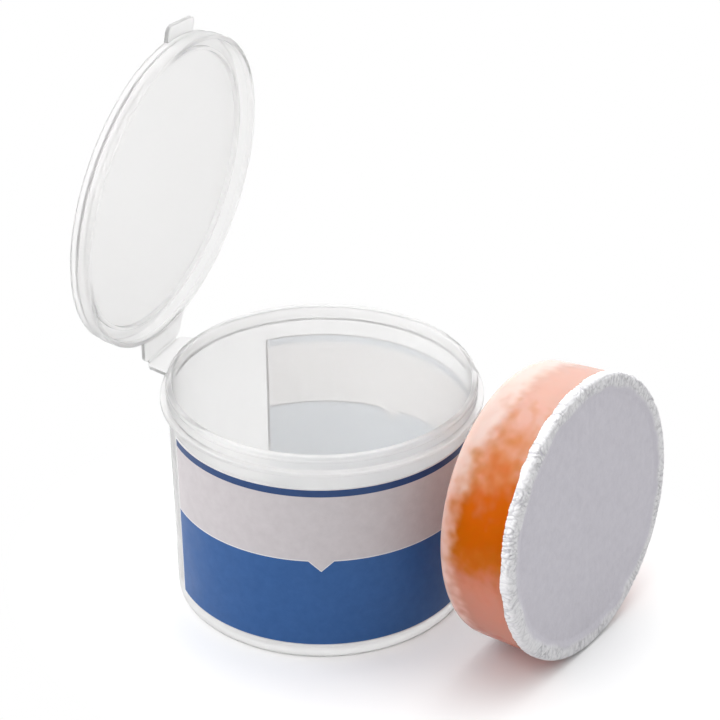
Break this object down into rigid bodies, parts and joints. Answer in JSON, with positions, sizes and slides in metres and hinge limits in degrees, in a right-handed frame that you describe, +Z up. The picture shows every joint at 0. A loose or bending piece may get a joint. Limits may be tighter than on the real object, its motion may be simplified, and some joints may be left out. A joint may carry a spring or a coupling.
{
  "type": "hearing aid dryer",
  "caption": "Passive drying jar with a flip-top lid on a film hinge, a wrap label, and a loose desiccant capsule that stands beside it and fits inside.",
  "frame": {"origin": "centre of the jar's foot, on the surface it stands on", "axes": "+Z up along the jar's axis; the lid's film hinge is on the -X side with its axis parallel to Y; the capsule stands on the +X side"},
  "size_m": [0.1275, 0.0792, 0.1415],
  "materials": {
    "frosted_plastic": "translucent frosted polypropylene",
    "printed_paper": "matt printed paper, blue and warm grey",
    "tinted_plastic": "translucent peach-tinted polypropylene",
    "silica_gel": "glossy translucent orange silica gel beads",
    "breathable_fabric": "fine white nonwoven, crinkled at the rim"
  },
  "bodies": {
    "jar": {"jar_body": "frosted_plastic", "label": "printed_paper", "living_hinge": "frosted_plastic"},
    "lid": {"lid": "frosted_plastic"},
    "capsule": {"capsule_cup": "tinted_plastic", "desiccant_beads": "silica_gel", "membrane": "breathable_fabric"}
  },
  "joints": [
    {"name": "lid_hinge", "type": "hinge", "parent": "jar", "child": "lid", "pos_m": [-0.045, 0, 0.05395], "axis": [0, -1, 0], "range_deg": [-82, 98], "deforming": ["living_hinge"]},
    {"name": "capsule_lift", "type": "slide", "parent": "jar", "child": "capsule", "axis": [0, 0, 1], "range_m": [0, 0.08]}
  ]
}
